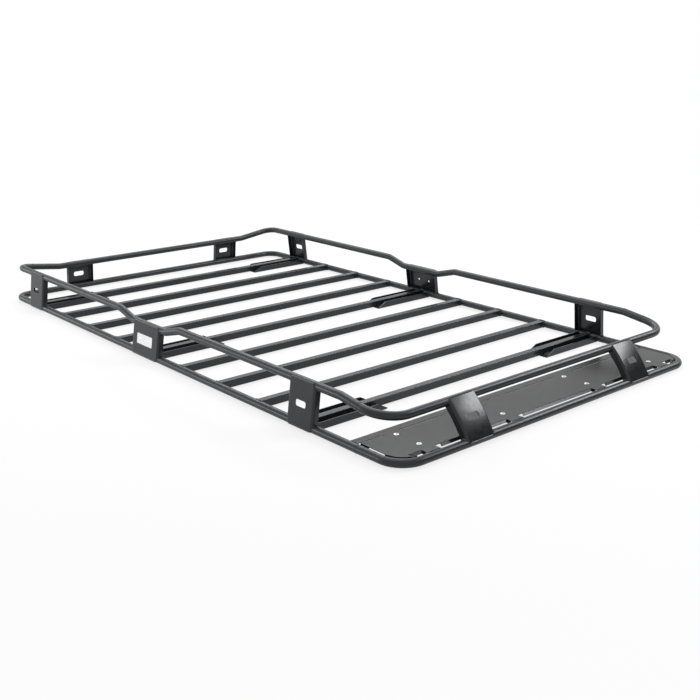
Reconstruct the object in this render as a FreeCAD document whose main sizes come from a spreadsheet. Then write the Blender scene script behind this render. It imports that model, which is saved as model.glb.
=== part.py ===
import FreeCAD, Part
import math
import os

import Sketcher
from FreeCAD import Vector

# Flat platform roof rack: a welded deck of square crossbars inside a ring of round tube, with a low
# guard rail of the same tube carried above it on bent sheet uprights, a sheet panel in the front bay
# and six open channels under the bar ends, on which the rack is bolted down.
# Millimetres. +Z is up, the front (the panel end) points to -Y, the origin is the bottom centre.

DIMENSIONS = [
    ("tube_diameter", 25.4, "round tube of the deck ring and the guard rail"),
    ("tube_wall", 2.0, "its wall"),
    ("tube_tangent", 10.0, "straight tube left beyond each corner bend"),
    ("deck_width", 1342.0, "between the centres of the two side tubes"),
    ("deck_front_radius", 150.0, "centre line bend of the front corners"),
    ("deck_rear_radius", 90.0, "centre line bend of the rear corners"),
    ("bar_size", 25.0, "square crossbar tube"),
    ("bar_wall", 2.0, "its wall"),
    ("bar_corner", 2.5, "its outer corner radius"),
    ("bar_trim", 3.0, "square cut of a bar end, short of the side tube centre"),
    ("bar_count", 9, "crossbars"),
    ("bar_pitch", 215.0, "from one crossbar to the next"),
    ("rear_bay", 215.0, "rear tube centre to the first crossbar"),
    ("front_bay", 398.0, "last crossbar to the front tube centre"),
    ("rail_width", 1312.0, "between the centres of the two side rails"),
    ("rail_rise", 124.5, "deck tube centre up to the rail centre on the sides"),
    ("rail_dip", 24.5, "how far the rail drops at its low stretches"),
    ("rail_front_inset", 77.0, "front rail centre behind the front tube centre"),
    ("rail_rear_inset", 10.0, "rear rail centre ahead of the rear tube centre"),
    ("rail_front_radius", 75.0, "centre line bend of the front rail corners"),
    ("rail_rear_radius", 65.0, "centre line bend of the rear rail corners"),
    ("dip_flat", 210.0, "low stretch over the middle uprights"),
    ("dip_ramp", 90.0, "length over which the rail drops"),
    ("dip_bend", 60.0, "centre line bend at the ends of a ramp"),
    ("upright_sheet", 2.5, "bent sheet of the uprights and the front brackets"),
    ("upright_bend", 8.0, "their outer bend radius"),
    ("upright_depth", 22.0, "web face to flange edge"),
    ("upright_lap", 6.0, "web past the tube centres at both ends"),
    ("upright_seat", 0.5, "how deep the web is scalloped for the tubes"),
    ("corner_upright_width", 116.0, "uprights beside the end crossbars"),
    ("middle_upright_width", 170.0, "uprights in the middle of the sides"),
    ("rear_upright_width", 118.0, "uprights of the rear rail"),
    ("rear_upright_spacing", 762.0, "between the two rear uprights"),
    ("bracket_width", 100.0, "sloping brackets of the front rail"),
    ("bracket_spacing", 752.0, "between the two front brackets"),
    ("slot_length", 46.0, "lashing slot"),
    ("slot_height", 20.0, "lashing slot"),
    ("slot_corner", 7.0, "its corner radius"),
    ("rivet_spacing", 58.0, "two holes in each middle upright"),
    ("rivet_hole", 8.5, "their diameter"),
    ("badge_length", 97.0, "blank plate over the holes of the left middle upright"),
    ("badge_height", 36.0, "its height"),
    ("badge_sheet", 1.5, "its thickness"),
    ("badge_corner", 4.0, "its corner radius"),
    ("channel_reach", 291.0, "side tube centre to the inner end of a mounting channel"),
    ("channel_width", 84.0, "outside its flanges"),
    ("channel_height", 25.0, "underside to flange edge"),
    ("channel_sheet", 3.0, "its sheet"),
    ("channel_bend", 6.0, "its outer bend radius"),
    ("channel_slope", 36.0, "length of the sloping cut at the inner end of its flanges"),
    ("channel_hole", 9.0, "diameter of its four bolt holes"),
    ("channel_hole_start", 90.0, "side tube centre to the outer pair"),
    ("channel_hole_pitch", 130.0, "outer pair to inner pair"),
    ("channel_hole_gauge", 52.0, "across the crossbar"),
    ("panel_depth", 238.0, "front tube centre back to the panel's rear edge"),
    ("panel_sheet", 2.0, "its sheet"),
    ("panel_strip", 42.0, "strip along the rear edge that reaches the side tubes"),
    ("panel_gap", 4.0, "clear of the side tubes ahead of the strip"),
    ("panel_flange", 12.0, "stiffening flange under the rear edge"),
    ("panel_hole", 9.0, "diameter of the accessory holes"),
    ("panel_hole_inner", 400.0, "between the inner two holes of a row"),
    ("panel_hole_outer", 1080.0, "between the outer two holes of a row"),
    ("panel_row_front", 62.0, "front tube centre to the front row"),
    ("panel_row_rear", 150.0, "front tube centre to the rear row"),
]

doc = FreeCAD.newDocument("roof_rack")
dims = doc.addObject("Spreadsheet::Sheet", "Dims")
for row, (alias, size, note) in enumerate(DIMENSIONS, start=1):
    dims.set("A%d" % row, alias)
    dims.set("B%d" % row, str(size))
    dims.set("C%d" % row, note)
    dims.setAlias("B%d" % row, alias)
doc.recompute()

# Places that several pieces share, as expressions on the sheet
TUBE_R = "Dims.tube_diameter / 2"
TUBE_Z = "(Dims.channel_sheet + Dims.bar_size / 2)"
SIDE_X = "Dims.deck_width / 2"
DECK_LENGTH = "(Dims.rear_bay + (Dims.bar_count - 1) * Dims.bar_pitch + Dims.front_bay)"
REAR_Y = DECK_LENGTH + " / 2"
FRONT_Y = "-" + DECK_LENGTH + " / 2"
RAIL_X = "Dims.rail_width / 2"
RAIL_Z = "(%s + Dims.rail_rise)" % TUBE_Z
LOW_Z = "(%s - Dims.rail_dip)" % RAIL_Z
RAIL_REAR_Y = "(%s - Dims.rail_rear_inset)" % REAR_Y
RAIL_FRONT_Y = "(%s + Dims.rail_front_inset)" % FRONT_Y
SIDE_LEAN = "(Dims.deck_width - Dims.rail_width) / 2"

pieces = []


def value(expression):
    """Number that an expression on the sheet stands for."""
    result = dims.evalExpression(expression)
    return float(getattr(result, "Value", result))


bar_count = int(round(value("Dims.bar_count")))


def bar_y(index):
    """Expression for the centre line of a crossbar, counted from the rear."""
    return "(%s - Dims.rear_bay - %d * Dims.bar_pitch)" % (REAR_Y, index)


MIDDLE_Y = bar_y(bar_count // 2)


def new_body(name):
    """A body whose label is the name of its piece."""
    body = doc.addObject("PartDesign::Body", name)
    body.Label = name
    pieces.append(body)
    return body


def new_sketch(body, role, name, x="", y="", z=""):
    """A sketch on one of the body's own origin planes, moved by expressions in its own frame."""
    sketch = body.newObject("Sketcher::SketchObject", name)
    plane = [feature for feature in body.Origin.OriginFeatures if feature.Role == role][0]
    sketch.AttachmentSupport = (plane, "")
    sketch.MapMode = "FlatFace"
    for axis, expression in (("x", x), ("y", y), ("z", z)):
        if expression:
            sketch.setExpression("AttachmentOffset.Base." + axis, expression)
    return sketch


def drive(sketch, name, kind, references, expression):
    """Add a dimension to a sketch and bind it to the sheet."""
    index = sketch.addConstraint(Sketcher.Constraint(kind, *references, value(expression)))
    sketch.renameConstraint(index, name)
    sketch.setExpression("Constraints." + name, expression)


def chain(sketch, corners, closed=True, prefix="P"):
    """Lines through corner points (x, y, bend radius or ""), rounded by tangent arcs.

    Every entry is an expression on the sheet, which also drives the corner point.
    """
    count = len(corners)
    points = [Vector(value(x), value(y), 0) for x, y, radius in corners]
    ends = []
    for index, (x, y, radius) in enumerate(corners):
        here = points[index]
        if not radius:
            ends.append((here, here, None))
            continue
        back = (points[index - 1] - here).normalize()
        ahead = (points[(index + 1) % count] - here).normalize()
        half = back.getAngle(ahead) / 2
        bend = value(radius)
        start = here + back * (bend / math.tan(half))
        end = here + ahead * (bend / math.tan(half))
        middle = here + (back + ahead).normalize() * (bend / math.sin(half) - bend)
        ends.append((start, end, sketch.addGeometry(Part.Arc(start, middle, end), False)))
    runs = count if closed else count - 1
    lines = []
    for index in range(runs):
        run = Part.LineSegment(ends[index][1], ends[(index + 1) % count][0])
        lines.append(sketch.addGeometry(run, False))
    for index, (x, y, radius) in enumerate(corners):
        name = prefix + str(index)
        start, end, arc = ends[index]
        inner = closed or 0 < index < count - 1
        if inner and arc is None:
            sketch.addConstraint(Sketcher.Constraint("Coincident", lines[index - 1], 2, lines[index], 1))
        if arc is None:
            corner = (lines[index], 1) if index < runs else (lines[index - 1], 2)
        else:
            first = 1 if (sketch.getPoint(arc, 1) - start).Length < 1e-6 else 2
            sketch.addConstraint(Sketcher.Constraint("Tangent", lines[index - 1], 2, arc, first))
            sketch.addConstraint(Sketcher.Constraint("Tangent", arc, 3 - first, lines[index], 1))
            corner = (sketch.addGeometry(Part.Point(points[index]), True), 1)
            sketch.addConstraint(Sketcher.Constraint("PointOnObject", *corner, lines[index - 1]))
            sketch.addConstraint(Sketcher.Constraint("PointOnObject", *corner, lines[index]))
            drive(sketch, name + "bend", "Radius", (arc,), radius)
        drive(sketch, name + "x", "DistanceX", (-1, 1) + corner, x)
        drive(sketch, name + "y", "DistanceY", (-1, 1) + corner, y)


def rectangle(sketch, width, height, radius, prefix="P"):
    """Rounded rectangle centred on the sketch origin."""
    chain(sketch, [("-(%s) / 2" % width, "-(%s) / 2" % height, radius),
                   ("(%s) / 2" % width, "-(%s) / 2" % height, radius),
                   ("(%s) / 2" % width, "(%s) / 2" % height, radius),
                   ("-(%s) / 2" % width, "(%s) / 2" % height, radius)], prefix=prefix)


def circle(sketch, radius, x="0", y="0", prefix="C"):
    """Circle whose radius and centre follow the sheet."""
    centre = Vector(value(x), value(y), 0)
    index = sketch.addGeometry(Part.Circle(centre, Vector(0, 0, 1), value(radius)), False)
    drive(sketch, prefix + "radius", "Radius", (index,), radius)
    drive(sketch, prefix + "x", "DistanceX", (-1, 1, index, 3), x)
    drive(sketch, prefix + "y", "DistanceY", (-1, 1, index, 3), y)


def channel_section(sketch, face, width, depth, thickness, bend, opens_up):
    """Bent sheet section: a web with its outer face at the given place and two flanges."""
    inner = "(%s) - (%s)" % (bend, thickness)
    tip = "(%s) + (%s)" % (face, depth)
    skin = "(%s) + (%s)" % (face, thickness)
    out = "(%s) / 2" % width
    flat = "(%s) / 2 - (%s)" % (width, thickness)
    points = [(tip, "-" + out, ""), (face, "-" + out, bend), (face, out, bend), (tip, out, ""),
              (tip, flat, ""), (skin, flat, inner), (skin, "-(%s)" % flat, inner),
              (tip, "-(%s)" % flat, "")]
    if opens_up:
        points = [(across, along, radius) for along, across, radius in points]
    chain(sketch, points)


def pad(body, sketch, length, symmetric=False, reverse=False):
    """Raise a sketch into the body."""
    feature = body.newObject("PartDesign::Pad", sketch.Name + "_pad")
    feature.Profile = sketch
    feature.setExpression("Length", length)
    feature.SideType = "Symmetric" if symmetric else "One side"
    feature.Reversed = reverse
    return feature


def pocket(body, sketch, both_ways=False, reverse=False):
    """Cut a sketch through the whole body."""
    feature = body.newObject("PartDesign::Pocket", sketch.Name + "_pocket")
    feature.Profile = sketch
    feature.Type = "ThroughAll"
    feature.SideType = "Symmetric" if both_ways else "One side"
    feature.Reversed = reverse
    return feature


def place(body, x="0", y="0", z="0", yaw="0", pitch="0"):
    """Bind the body's place and turn to the sheet."""
    where = "vector(%s; %s; %s)" % (x, y, z)
    body.setExpression("Placement", "placement(%s; rotation(%s; %s; 0))" % (where, yaw, pitch))


def tube_section(body, role, x="", y="", z=""):
    """Ring section of the round tube on a plane of the body."""
    sketch = new_sketch(body, role, body.Name + "_section", x, y, z)
    circle(sketch, TUBE_R, prefix="Outer")
    circle(sketch, TUBE_R + " - Dims.tube_wall", prefix="Inner")
    return sketch


def bent_tube(name, path_role, corners, section_role, offset, where):
    """Round tube swept along straight runs and tangent bends; offset is where the section stands."""
    body = new_body(name)
    path = new_sketch(body, path_role, name + "_path")
    chain(path, corners, closed=False)
    section = tube_section(body, section_role, *offset)
    pipe = body.newObject("PartDesign::AdditivePipe", name + "_pipe")
    pipe.Profile = section
    pipe.Spine = path
    place(body, *where)


def side_tube(name, x):
    """Straight side tube of the deck ring."""
    body = new_body(name)
    bends = "(Dims.deck_front_radius + Dims.deck_rear_radius + 2 * Dims.tube_tangent)"
    pad(body, tube_section(body, "XZ_Plane"), "%s - %s" % (DECK_LENGTH, bends), symmetric=True)
    place(body, x, "(Dims.deck_front_radius - Dims.deck_rear_radius) / 2", TUBE_Z)


# Deck ring: two side tubes and a bent tube across each end, butt welded beyond the bends
side_tube("deck_tube_left", "-" + SIDE_X)
side_tube("deck_tube_right", SIDE_X)


def end_tube(name, half_width, bend, heading, where):
    """Tube across one end with both corners; heading is "" for the front and "-" for the rear."""
    leg = "%s(%s + Dims.tube_tangent)" % (heading, bend)
    start = "-" + half_width
    corners = [(start, leg, ""), (start, "0", bend), (half_width, "0", bend), (half_width, leg, "")]
    bent_tube(name, "XY_Plane", corners, "XZ_Plane", (start, "", "-(%s)" % leg), where)


end_tube("deck_tube_front", SIDE_X, "Dims.deck_front_radius", "", ("0", FRONT_Y, TUBE_Z))
end_tube("deck_tube_rear", SIDE_X, "Dims.deck_rear_radius", "-", ("0", REAR_Y, TUBE_Z))

# Guard rail: high along the sides and round the rear corners, low over the middle uprights, along
# the rear and round the whole front end
end_tube("rail_front", RAIL_X, "Dims.rail_front_radius", "", ("0", RAIL_FRONT_Y, LOW_Z))


def side_rail(name, x):
    """Side rail with a dip over the middle upright and a ramp down to the front rail."""
    high, low, bend = "0", "-Dims.rail_dip", "Dims.dip_bend"
    half = "Dims.dip_flat / 2"
    rear = "%s - Dims.rail_rear_radius - Dims.tube_tangent - %s" % (RAIL_REAR_Y, MIDDLE_Y)
    front = "%s + Dims.rail_front_radius + Dims.tube_tangent - %s" % (RAIL_FRONT_Y, MIDDLE_Y)
    foot = "%s + Dims.tube_tangent" % front
    corners = [(rear, high, ""),
               (half + " + Dims.dip_ramp", high, bend), (half, low, bend),
               ("-" + half, low, bend), ("-(%s + Dims.dip_ramp)" % half, high, bend),
               (foot + " + Dims.dip_ramp", high, bend), (foot, low, bend),
               (front, low, "")]
    bent_tube(name, "YZ_Plane", corners, "XZ_Plane", ("", "", "-(%s)" % rear), (x, MIDDLE_Y, RAIL_Z))


side_rail("rail_left", "-" + RAIL_X)
side_rail("rail_right", RAIL_X)

corner_leg = "(Dims.rail_rear_radius + Dims.tube_tangent)"
for name, sign in (("rail_corner_left", "-"), ("rail_corner_right", "")):
    edge = sign + RAIL_X
    inner = "%s(%s - %s)" % (sign, RAIL_X, corner_leg)
    corners = [(edge, "-" + corner_leg, ""), (edge, "0", "Dims.rail_rear_radius"), (inner, "0", "")]
    bent_tube(name, "XY_Plane", corners, "XZ_Plane", (edge, "", corner_leg),
              ("0", RAIL_REAR_Y, RAIL_Z))

rail_end = "(%s - %s)" % (RAIL_X, corner_leg)
ramp_top = "(%s - Dims.tube_tangent)" % rail_end
ramp_foot = "(%s - Dims.dip_ramp)" % ramp_top
corners = [("-" + rail_end, "0", ""), ("-" + ramp_top, "0", "Dims.dip_bend"),
           ("-" + ramp_foot, "-Dims.rail_dip", "Dims.dip_bend"),
           (ramp_foot, "-Dims.rail_dip", "Dims.dip_bend"), (ramp_top, "0", "Dims.dip_bend"),
           (rail_end, "0", "")]
bent_tube("rail_rear", "XZ_Plane", corners, "YZ_Plane", ("", "", "-" + rail_end),
          ("0", RAIL_REAR_Y, RAIL_Z))


def crossbar(name, y):
    """Square tube across the deck, its ends saddled on the side tubes."""
    body = new_body(name)
    section = new_sketch(body, "YZ_Plane", name + "_section")
    bore = "Dims.bar_size - 2 * Dims.bar_wall"
    rectangle(section, "Dims.bar_size", "Dims.bar_size", "Dims.bar_corner", "Outer")
    rectangle(section, bore, bore, "max(Dims.bar_corner - Dims.bar_wall; 0.2)", "Inner")
    pad(body, section, "Dims.deck_width - 2 * Dims.bar_trim", symmetric=True)
    saddle = new_sketch(body, "XZ_Plane", name + "_saddle")
    circle(saddle, TUBE_R, "-" + SIDE_X, prefix="Left")
    circle(saddle, TUBE_R, SIDE_X, prefix="Right")
    pocket(body, saddle, both_ways=True)
    place(body, "0", y, TUBE_Z)


for index in range(bar_count):
    crossbar("crossbar_%d" % (index + 1), bar_y(index))


def slotted(body, span):
    """Cut the lashing slot at mid height of an upright's web."""
    slot = new_sketch(body, "YZ_Plane", body.Name + "_slot", y=span + " / 2")
    rectangle(slot, "Dims.slot_length", "Dims.slot_height", "Dims.slot_corner")
    pocket(body, slot)


def riveted(body, span):
    """Cut the two round holes at mid height of a middle upright's web."""
    holes = new_sketch(body, "YZ_Plane", body.Name + "_holes", y=span + " / 2")
    circle(holes, "Dims.rivet_hole / 2", "-Dims.rivet_spacing / 2", prefix="Front")
    circle(holes, "Dims.rivet_hole / 2", "Dims.rivet_spacing / 2", prefix="Rear")
    pocket(body, holes)


WEB_FACE = "-(%s + Dims.upright_sheet - Dims.upright_seat)" % TUBE_R


def upright(name, width, lean, rise, where, yaw, cut):
    """Bent sheet channel outside two parallel tubes, leaning inward from the lower to the upper.

    The body's frame stands on the lower tube's centre line, with Z toward the upper tube's.
    """
    span = "sqrt((%s)^2 + (%s)^2)" % (lean, rise)
    body = new_body(name)
    section = new_sketch(body, "XY_Plane", name + "_section", z="-Dims.upright_lap")
    channel_section(section, WEB_FACE, width, "Dims.upright_depth", "Dims.upright_sheet",
                    "Dims.upright_bend", opens_up=False)
    pad(body, section, span + " + 2 * Dims.upright_lap")
    saddle = new_sketch(body, "XZ_Plane", name + "_saddle")
    circle(saddle, TUBE_R, prefix="Lower")
    circle(saddle, TUBE_R, "0", span, prefix="Upper")
    pocket(body, saddle, both_ways=True)
    cut(body, span)
    place(body, *where, yaw, "atan((%s) / (%s))" % (lean, rise))


side_rise = "Dims.rail_rise"
low_rise = "(Dims.rail_rise - Dims.rail_dip)"
for side, sign, yaw in (("left", "-", "0"), ("right", "", "180")):
    x = sign + SIDE_X
    upright("upright_rear_" + side, "Dims.corner_upright_width", SIDE_LEAN, side_rise,
            (x, bar_y(0), TUBE_Z), yaw, slotted)
    upright("upright_middle_" + side, "Dims.middle_upright_width", SIDE_LEAN, low_rise,
            (x, MIDDLE_Y, TUBE_Z), yaw, riveted)
    upright("upright_front_" + side, "Dims.corner_upright_width", SIDE_LEAN, side_rise,
            (x, bar_y(bar_count - 1), TUBE_Z), yaw, slotted)
    upright("end_upright_" + side, "Dims.rear_upright_width", "Dims.rail_rear_inset", low_rise,
            (sign + "Dims.rear_upright_spacing / 2", REAR_Y, TUBE_Z), "-90", slotted)
    upright("front_bracket_" + side, "Dims.bracket_width", "Dims.rail_front_inset", low_rise,
            (sign + "Dims.bracket_spacing / 2", FRONT_Y, TUBE_Z), "90", slotted)

# Blank plate riveted over the two holes of the left middle upright
badge = new_body("badge_plate")
badge_span = "sqrt((%s)^2 + (%s)^2)" % (SIDE_LEAN, low_rise)
badge_outline = new_sketch(badge, "YZ_Plane", "badge_outline", y=badge_span + " / 2", z=WEB_FACE)
rectangle(badge_outline, "Dims.badge_length", "Dims.badge_height", "Dims.badge_corner")
pad(badge, badge_outline, "Dims.badge_sheet", reverse=True)
place(badge, "-" + SIDE_X, MIDDLE_Y, TUBE_Z, "0", "atan((%s) / (%s))" % (SIDE_LEAN, low_rise))


def channel(name, x, y, yaw):
    """Open channel under a bar end: the bar lies on its web, and bolts pass beside the bar."""
    body = new_body(name)
    section = new_sketch(body, "YZ_Plane", name + "_section")
    channel_section(section, "0", "Dims.channel_width", "Dims.channel_height", "Dims.channel_sheet",
                    "Dims.channel_bend", opens_up=True)
    pad(body, section, "Dims.channel_reach")
    saddle = new_sketch(body, "XZ_Plane", name + "_saddle")
    circle(saddle, TUBE_R, "0", TUBE_Z)
    pocket(body, saddle, both_ways=True)
    top, foot = "Dims.channel_height", "Dims.channel_bend"
    crest = "Dims.channel_reach - Dims.channel_slope"
    past = "Dims.channel_reach + 1"
    above = "Dims.channel_height + 1"
    slope = new_sketch(body, "XZ_Plane", name + "_slope")
    chain(slope, [(crest + " - Dims.channel_slope", top, ""), (crest, top, "Dims.channel_slope / 3"),
                  ("Dims.channel_reach", foot, ""), (past, foot, ""), (past, above, ""),
                  (crest + " - Dims.channel_slope", above, "")])
    pocket(body, slope, both_ways=True)
    holes = new_sketch(body, "XY_Plane", name + "_holes")
    for pair, start in (("Outer", "Dims.channel_hole_start"),
                        ("Inner", "Dims.channel_hole_start + Dims.channel_hole_pitch")):
        for hand, sign in (("Front", "-"), ("Rear", "")):
            gauge = sign + "Dims.channel_hole_gauge / 2"
            circle(holes, "Dims.channel_hole / 2", start, gauge, prefix=pair + hand)
    pocket(body, holes, both_ways=True)
    place(body, x, y, "0", yaw)


for place_name, index in (("rear", 0), ("middle", bar_count // 2), ("front", bar_count - 1)):
    channel("channel_%s_left" % place_name, "-" + SIDE_X, bar_y(index), "0")
    channel("channel_%s_right" % place_name, SIDE_X, bar_y(index), "180")

# Front panel: sheet at the height of the tube centres, welded to the front tube along its front
# edge and to the side tubes at the strip along its rear edge
panel = new_body("front_panel")
reach = "(%s - %s)" % (SIDE_X, TUBE_R)
clear = "(%s - Dims.panel_gap)" % reach
rear_edge = "Dims.panel_depth"
step = "(Dims.panel_depth - Dims.panel_strip)"
corner = "Dims.deck_front_radius - %s" % TUBE_R
outline = new_sketch(panel, "XY_Plane", "panel_outline")
chain(outline, [("-" + clear, TUBE_R, corner), (clear, TUBE_R, corner), (clear, step, ""),
                (reach, step, ""), (reach, rear_edge, ""), ("-" + reach, rear_edge, ""),
                ("-" + reach, step, ""), ("-" + clear, step, "")])
pad(panel, outline, "Dims.panel_sheet", symmetric=True)
flange = new_sketch(panel, "XY_Plane", "panel_flange", z="-Dims.panel_sheet / 2")
chain(flange, [("-" + reach, rear_edge + " - Dims.panel_sheet", ""),
               (reach, rear_edge + " - Dims.panel_sheet", ""), (reach, rear_edge, ""),
               ("-" + reach, rear_edge, "")])
pad(panel, flange, "Dims.panel_flange", reverse=True)
holes = new_sketch(panel, "XY_Plane", "panel_holes")
for row_name, y in (("Front", "Dims.panel_row_front"), ("Rear", "Dims.panel_row_rear")):
    for column, spread in (("Inner", "Dims.panel_hole_inner"), ("Outer", "Dims.panel_hole_outer")):
        for hand, sign in (("Left", "-"), ("Right", "")):
            x = "%s%s / 2" % (sign, spread)
            circle(holes, "Dims.panel_hole / 2", x, y, prefix=row_name + column + hand)
pocket(panel, holes, both_ways=True)
place(panel, "0", FRONT_Y, TUBE_Z)

doc.recompute()

for item in doc.Objects:
    if "Invalid" in item.State or "Error" in item.State:
        raise RuntimeError("%s failed: %s" % (item.Label, item.State))
for piece in pieces:
    if piece.Shape.isNull() or not piece.Shape.isValid() or len(piece.Shape.Solids) != 1:
        raise RuntimeError("%s is not one sound solid" % piece.Label)

os.makedirs("parts", exist_ok=True)
for piece in pieces:
    piece.Shape.exportStep(os.path.join("parts", piece.Label + ".step"))
print(len(pieces), "pieces written")
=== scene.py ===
import math

import bmesh
import bpy
import numpy as np
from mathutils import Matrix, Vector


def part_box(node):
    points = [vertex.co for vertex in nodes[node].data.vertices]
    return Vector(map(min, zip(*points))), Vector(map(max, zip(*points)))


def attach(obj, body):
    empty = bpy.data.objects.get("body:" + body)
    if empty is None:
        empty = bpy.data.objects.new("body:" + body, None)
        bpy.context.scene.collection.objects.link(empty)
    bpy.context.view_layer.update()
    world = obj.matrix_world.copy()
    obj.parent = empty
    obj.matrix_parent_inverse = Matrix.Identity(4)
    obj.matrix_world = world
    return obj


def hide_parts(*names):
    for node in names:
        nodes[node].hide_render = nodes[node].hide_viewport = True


# Flat platform roof rack. Sizes are in metres, Z is up, the rack's front is toward -Y and its left
# side toward -X. CAD nodes that are kept get a finish; the others are replaced by finer pieces.
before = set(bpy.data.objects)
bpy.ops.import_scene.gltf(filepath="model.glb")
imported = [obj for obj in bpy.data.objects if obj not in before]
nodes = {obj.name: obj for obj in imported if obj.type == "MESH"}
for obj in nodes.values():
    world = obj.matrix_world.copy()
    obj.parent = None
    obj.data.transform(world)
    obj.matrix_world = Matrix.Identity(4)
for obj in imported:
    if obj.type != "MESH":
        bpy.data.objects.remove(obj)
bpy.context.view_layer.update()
scene = bpy.context.scene
scene.view_settings.view_transform = "Standard"

# Camera: stands off the left front corner, a metre above the rack, and looks down along it. Its
# place, turn and lens bring the straight tubes and bars onto their lines in the picture.
LENS_MM, SENSOR_MM = 51.5859, 36.0
CAMERA_AT = (-2.311997, -2.855345, 1.072224)
CAMERA_TURN = (1.2654856, -0.0010718, -0.716653)
CAMERA_SIGHT = 60.0
camera = bpy.data.objects.new("camera", bpy.data.cameras.new("camera"))
camera.data.sensor_width = SENSOR_MM
camera.data.lens = LENS_MM
camera.data.clip_end = CAMERA_SIGHT
camera.location = CAMERA_AT
camera.rotation_euler = CAMERA_TURN
scene.collection.objects.link(camera)
scene.camera = camera

# Studio: an even white surround. The eye and the glossy coat meet it as pure white, and it lights
# the rack at a plain level.
WORLD_LEVEL = 0.5


def shader_tree(holder):
    """Empty node tree of a material or world, with its output node."""
    holder.use_nodes = True
    holder.node_tree.nodes.clear()
    kind = "ShaderNodeOutputWorld" if isinstance(holder, bpy.types.World) else "ShaderNodeOutputMaterial"
    return holder.node_tree, holder.node_tree.nodes.new(kind)


def shader_node(tree, kind, links=(), **settings):
    """Add a shader node, set its sockets and properties by name, link (socket name, source socket)."""
    made = tree.nodes.new(kind)
    for name, setting in settings.items():
        socket = name.replace("_", " ")
        if socket in made.inputs:
            made.inputs[socket].default_value = setting
        else:
            setattr(made, name, setting)
    for name, source in links:
        tree.links.new(source, made.inputs[name])
    return made


def seen_directly(tree):
    """One for camera, glossy and transmission rays, which should meet the white studio."""
    path = shader_node(tree, "ShaderNodeLightPath")
    either = shader_node(tree, "ShaderNodeMath", operation="MAXIMUM")
    tree.links.new(path.outputs["Is Camera Ray"], either.inputs[0])
    tree.links.new(path.outputs["Is Glossy Ray"], either.inputs[1])
    any_ray = shader_node(tree, "ShaderNodeMath", operation="MAXIMUM")
    tree.links.new(either.outputs[0], any_ray.inputs[0])
    tree.links.new(path.outputs["Is Transmission Ray"], any_ray.inputs[1])
    return any_ray.outputs[0]


world = bpy.data.worlds.new("studio")
scene.world = world
tree, output = shader_tree(world)
level = shader_node(tree, "ShaderNodeMapRange", [("Value", seen_directly(tree))],
                    To_Min=WORLD_LEVEL, To_Max=1.0)
background = shader_node(tree, "ShaderNodeBackground", [("Strength", level.outputs[0])],
                         Color=(1, 1, 1, 1))
tree.links.new(background.outputs[0], output.inputs["Surface"])

# Studio floor: white sheet that the rack stands on. It keeps a faint soft shadow near the rack, and
# is clear from below, so that the rack's underside shows there.
FLOOR_HALF, FLOOR_DROP = 60.0, 0.0005
FLOOR_SHADE = 0.22
FLOOR_FADE = (1.6, 3.2)
PAPER_WHITE = (0.86, 0.86, 0.86, 1)


def flat_sheet(name, centre, across, up):
    """Rectangle centre + s across + t up, s and t from -1 to 1, facing across x up."""
    centre, across, up = (np.array(vector, float) for vector in (centre, across, up))
    mesh = bpy.data.meshes.new(name)
    corners = [centre - across - up, centre + across - up, centre + across + up, centre - across + up]
    mesh.from_pydata([tuple(corner) for corner in corners], [], [(0, 1, 2, 3)])
    made = bpy.data.objects.new(name, mesh)
    scene.collection.objects.link(made)
    return made


floor = flat_sheet("floor", (0, 0, -FLOOR_DROP), (FLOOR_HALF, 0, 0), (0, FLOOR_HALF, 0))
paper = bpy.data.materials.new("studio_paper")
tree, output = shader_tree(paper)
matte = shader_node(tree, "ShaderNodeBsdfDiffuse", Color=PAPER_WHITE)
glow = shader_node(tree, "ShaderNodeEmission", Color=(1, 1, 1, 1), Strength=1.0)
place = shader_node(tree, "ShaderNodeTexCoord").outputs["Object"]
reach = shader_node(tree, "ShaderNodeVectorMath", operation="LENGTH")
tree.links.new(place, reach.inputs[0])
fade = shader_node(tree, "ShaderNodeMapRange", [("Value", reach.outputs["Value"])],
                   From_Min=FLOOR_FADE[0], From_Max=FLOOR_FADE[1], To_Min=1.0 - FLOOR_SHADE, To_Max=1.0)
share = shader_node(tree, "ShaderNodeMath", operation="MULTIPLY")
tree.links.new(seen_directly(tree), share.inputs[0])
tree.links.new(fade.outputs[0], share.inputs[1])
blend = shader_node(tree, "ShaderNodeMixShader", [("Fac", share.outputs[0])])
tree.links.new(matte.outputs[0], blend.inputs[1])
tree.links.new(glow.outputs[0], blend.inputs[2])
from_below = shader_node(tree, "ShaderNodeNewGeometry").outputs["Backfacing"]
one_sided = shader_node(tree, "ShaderNodeMixShader", [("Fac", from_below)])
tree.links.new(blend.outputs[0], one_sided.inputs[1])
tree.links.new(shader_node(tree, "ShaderNodeBsdfTransparent").outputs[0], one_sided.inputs[2])
tree.links.new(one_sided.outputs[0], output.inputs["Surface"])
floor.data.materials.append(paper)

# Black card: stands off the right front, out of view. Only the glossy coat meets it, as the dark
# band on the lower half of the brackets and along the fronts of the tubes.
CARD_CENTRE = (3.0, -4.4, 1.2)
CARD_ACROSS = (2.4, 2.4, 0.0)
CARD_UP = (0.0, 0.0, 1.2)
CARD_BLACK = (0.01, 0.01, 0.01, 1)
card = flat_sheet("black_card", CARD_CENTRE, CARD_ACROSS, CARD_UP)
card.visible_camera = card.visible_diffuse = card.visible_shadow = False
black = bpy.data.materials.new("black_paper")
tree, output = shader_tree(black)
tree.links.new(shader_node(tree, "ShaderNodeBsdfDiffuse", Color=CARD_BLACK).outputs[0],
               output.inputs["Surface"])
card.data.materials.append(black)

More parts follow.
